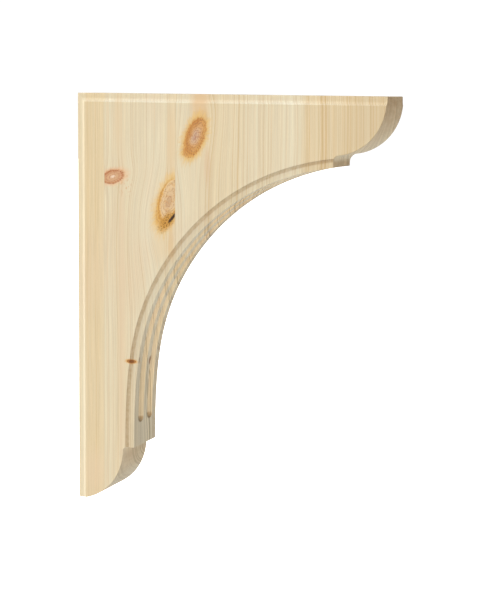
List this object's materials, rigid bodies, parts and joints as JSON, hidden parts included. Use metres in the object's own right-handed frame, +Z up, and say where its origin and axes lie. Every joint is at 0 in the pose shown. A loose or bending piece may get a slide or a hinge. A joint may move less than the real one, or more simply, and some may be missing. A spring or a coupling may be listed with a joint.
{
  "type": "wooden corbel bracket",
  "caption": "Carved pine corbel bracket with a concave fluted underside, moulded edges and a rounded nose at each end, fixed to a wall to carry a shelf.",
  "frame": {"origin": "middle of the flat face that meets the wall", "axes": "+X out from the wall along the shelf, +Y across the thickness away from the face in the picture, +Z up"},
  "size_m": [0.225, 0.04, 0.29],
  "materials": {
    "pine": "bare knotty pine in edge-glued staves with the grain upright, planed faces and machined mouldings, unsealed"
  },
  "bodies": {
    "root": {"corbel_bracket": "pine"}
  },
  "joints": []
}
